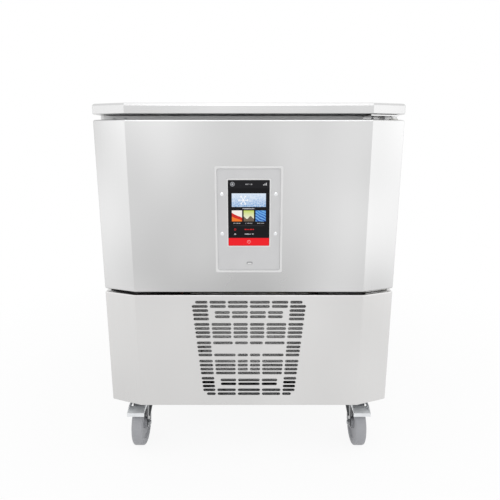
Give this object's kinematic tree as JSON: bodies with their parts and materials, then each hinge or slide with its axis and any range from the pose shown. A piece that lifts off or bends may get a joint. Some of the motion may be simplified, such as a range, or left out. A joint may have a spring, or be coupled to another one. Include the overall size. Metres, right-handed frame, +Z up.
{
  "type": "blast chiller",
  "caption": "Undercounter blast chiller on casters: insulated tray chamber behind a full-width hinged door with a touch panel, above a slotted compartment for its refrigeration unit.",
  "frame": {"origin": "on the floor, under the centre of the bounding box", "axes": "+Z up, +X to the right as seen from the front, and the front with its door faces -Y"},
  "size_m": [0.78, 0.8, 0.968],
  "materials": {
    "stainless": "satin",
    "stainless_bright": "satin",
    "zinc": "satin",
    "caster_zinc": "satin",
    "board": "matte",
    "foam": "matte",
    "gasket": "matte",
    "bezel": "satin",
    "screen": "gloss",
    "dark_plastic": "satin",
    "white_plastic": "satin",
    "fan": "satin",
    "motor": "satin",
    "black_enamel": "gloss",
    "fins": "satin",
    "copper": "satin",
    "enclosure": "satin",
    "grey_rubber": "satin",
    "plug_rubber": "matte"
  },
  "bodies": {
    "cabinet": {"worktop": "stainless_bright", "worktop_core": "board", "side_panel_left": "stainless", "side_panel_right": "stainless", "back_panel": "zinc", "rear_cover": "zinc", "insulation": "foam", "chamber_liner": "stainless_bright", "front_frame": "stainless", "base_frame": "zinc", "service_panel": "stainless", "hinge_bracket_top": "stainless_bright", "hinge_bracket_bottom": "stainless_bright", "hinge_screws": "zinc", "rack_left": "stainless_bright", "rack_right": "stainless_bright", "evaporator_coil": "fins", "air_deflector": "stainless_bright", "fan_guard": "stainless_bright", "evaporator_fan_motor": "motor", "probe_gland": "dark_plastic", "drain_pipe": "white_plastic", "compressor": "black_enamel", "condenser_coil": "fins", "condenser_shroud": "zinc", "condenser_fan_motor": "motor", "receiver": "black_enamel", "filter_drier": "copper", "copper_pipes": "copper", "control_box": "enclosure", "cable_gland": "dark_plastic", "caster_plates": "caster_zinc", "caster_bolts": "caster_zinc", "panel_screws": "zinc"},
    "door": {"door_skin": "stainless", "door_liner": "stainless_bright", "door_foam": "foam", "door_gasket": "gasket", "control_bezel": "bezel", "touch_screen": "screen", "display_module": "dark_plastic", "bezel_screws": "zinc", "hinge_bushes": "white_plastic"},
    "drain_plug": {"drain_plug": "plug_rubber"},
    "evaporator_fan": {"evaporator_fan": "fan"},
    "condenser_fan": {"condenser_fan": "fan"},
    "caster_fl": {"caster_fork_fl": "caster_zinc", "caster_axle_fl": "caster_zinc"},
    "wheel_fl": {"caster_wheel_fl": "grey_rubber"},
    "caster_fr": {"caster_fork_fr": "caster_zinc", "caster_axle_fr": "caster_zinc"},
    "wheel_fr": {"caster_wheel_fr": "grey_rubber"},
    "caster_rl": {"caster_fork_rl": "caster_zinc", "caster_axle_rl": "caster_zinc"},
    "wheel_rl": {"caster_wheel_rl": "grey_rubber"},
    "caster_rr": {"caster_fork_rr": "caster_zinc", "caster_axle_rr": "caster_zinc"},
    "wheel_rr": {"caster_wheel_rr": "grey_rubber"},
    "brake_fl": {"brake_fl": "stainless_bright"},
    "brake_fr": {"brake_fr": "stainless_bright"}
  },
  "joints": [
    {"name": "door_hinge", "type": "hinge", "parent": "cabinet", "child": "door", "pos_m": [0.364, -0.352, 0.488], "axis": [0, 0, 1], "range_deg": [0, 110]},
    {"name": "drain_plug_lift", "type": "slide", "parent": "cabinet", "child": "drain_plug", "axis": [0, 0, 1], "range_m": [0, 0.03]},
    {"name": "evaporator_fan_spin", "type": "hinge", "parent": "cabinet", "child": "evaporator_fan", "pos_m": [0, 0.1677, 0.708], "axis": [0, 1, 0], "continuous": true},
    {"name": "condenser_fan_spin", "type": "hinge", "parent": "cabinet", "child": "condenser_fan", "pos_m": [0, -0.198, 0.311], "axis": [0, 1, 0], "continuous": true},
    {"name": "caster_fl_swivel", "type": "hinge", "parent": "cabinet", "child": "caster_fl", "pos_m": [-0.319, -0.296, 0.143], "axis": [0, 0, 1], "continuous": true},
    {"name": "wheel_fl_spin", "type": "hinge", "parent": "caster_fl", "child": "wheel_fl", "pos_m": [-0.319, -0.334, 0.0635], "axis": [1, 0, 0], "continuous": true},
    {"name": "caster_fr_swivel", "type": "hinge", "parent": "cabinet", "child": "caster_fr", "pos_m": [0.319, -0.296, 0.143], "axis": [0, 0, 1], "continuous": true},
    {"name": "wheel_fr_spin", "type": "hinge", "parent": "caster_fr", "child": "wheel_fr", "pos_m": [0.319, -0.334, 0.0635], "axis": [1, 0, 0], "continuous": true},
    {"name": "caster_rl_swivel", "type": "hinge", "parent": "cabinet", "child": "caster_rl", "pos_m": [-0.319, 0.3, 0.143], "axis": [0, 0, 1], "continuous": true},
    {"name": "wheel_rl_spin", "type": "hinge", "parent": "caster_rl", "child": "wheel_rl", "pos_m": [-0.319, 0.262, 0.0635], "axis": [1, 0, 0], "continuous": true},
    {"name": "caster_rr_swivel", "type": "hinge", "parent": "cabinet", "child": "caster_rr", "pos_m": [0.319, 0.3, 0.143], "axis": [0, 0, 1], "continuous": true},
    {"name": "wheel_rr_spin", "type": "hinge", "parent": "caster_rr", "child": "wheel_rr", "pos_m": [0.319, 0.262, 0.0635], "axis": [1, 0, 0], "continuous": true},
    {"name": "brake_fl_press", "type": "hinge", "parent": "caster_fl", "child": "brake_fl", "pos_m": [-0.319, -0.32, 0.137], "axis": [1, 0, 0], "range_deg": [0, 10.5]},
    {"name": "brake_fr_press", "type": "hinge", "parent": "caster_fr", "child": "brake_fr", "pos_m": [0.319, -0.32, 0.137], "axis": [1, 0, 0], "range_deg": [0, 10.5]}
  ]
}
